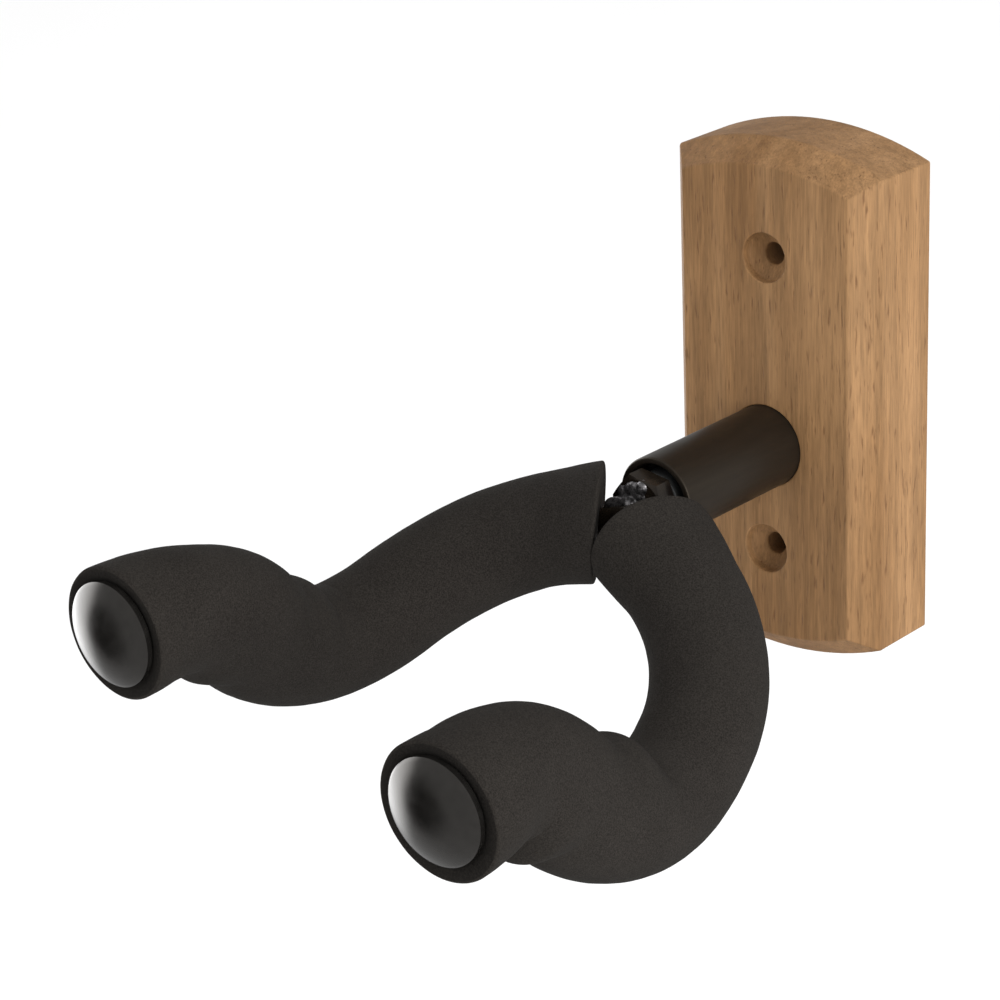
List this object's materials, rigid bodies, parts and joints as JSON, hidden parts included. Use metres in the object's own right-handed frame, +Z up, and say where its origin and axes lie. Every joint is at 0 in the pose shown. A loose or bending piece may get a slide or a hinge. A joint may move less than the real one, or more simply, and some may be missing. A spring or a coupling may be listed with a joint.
{
  "type": "wall guitar hanger",
  "caption": "Wall hanger for a guitar: arched hardwood backplate, spacer tube and a swivelling yoke of bent steel rods in foam sleeves that hold the headstock.",
  "frame": {"origin": "centre of the backplate's back face, on the wall, halfway between the two screw holes", "axes": "+X to the right as seen from the room, +Y into the wall, +Z up, so the yoke reaches out along -Y"},
  "size_m": [0.1162, 0.1872, 0.1234],
  "materials": {
    "hardwood": "satin",
    "tube_coating": "satin",
    "black_steel": "gloss",
    "weld": "satin",
    "zinc_steel": "satin",
    "nylon": "satin",
    "insert_nylon": "satin",
    "foam": "matte",
    "cap_plastic": "gloss"
  },
  "bodies": {
    "wall_mount": {"backplate": "hardwood", "spacer_tube": "tube_coating", "bearing_sleeve": "nylon", "thrust_washer": "nylon", "rear_washer": "zinc_steel", "wave_washer": "zinc_steel"},
    "yoke": {"pivot_bolt": "black_steel", "lock_nut": "zinc_steel", "nut_insert": "insert_nylon", "weld_beads": "weld", "left_rod": "black_steel", "right_rod": "black_steel", "left_foam": "foam", "right_foam": "foam", "left_cap": "cap_plastic", "right_cap": "cap_plastic"}
  },
  "joints": [
    {"name": "yoke_swivel", "type": "hinge", "parent": "wall_mount", "child": "yoke", "pos_m": [0, -0.064, -0.0095], "axis": [0, 1, 0], "continuous": true}
  ]
}
